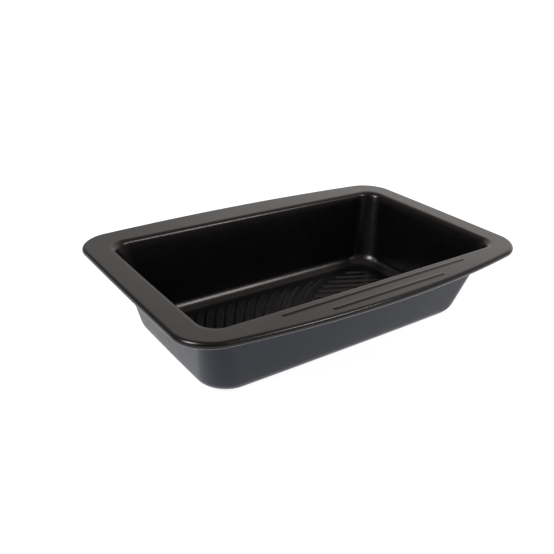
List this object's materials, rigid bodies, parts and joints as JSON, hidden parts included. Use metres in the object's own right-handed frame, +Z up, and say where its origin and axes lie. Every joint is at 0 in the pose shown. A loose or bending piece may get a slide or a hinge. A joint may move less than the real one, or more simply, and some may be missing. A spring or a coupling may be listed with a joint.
{
  "type": "loaf pan",
  "caption": "Deep-drawn steel loaf pan with tapered walls, a wide flat flange with grip beads, a ribbed floor and a wired, rolled rim.",
  "frame": {"origin": "on the plane that the pan stands on, under the middle of its box", "axes": "+X along the pan's long side, +Y away from the side with the grip beads, +Z up out of the opening"},
  "size_m": [0.275, 0.178, 0.059],
  "materials": {
    "nonstick_coating": "satin non-stick polymer coating, brown-black, on the inside, the flange and the outside of the rolled rim",
    "steel_pan": "cold-rolled carbon steel sheet, bare at the cut edge inside the roll",
    "outer_coating": "satin blue-grey polymer coating on the outside walls and the underside",
    "rim_wire": "drawn galvanised steel wire"
  },
  "bodies": {
    "root": {"nonstick_coating": "nonstick_coating", "steel_pan": "steel_pan", "outer_coating": "outer_coating", "rim_wire": "rim_wire"}
  },
  "joints": []
}
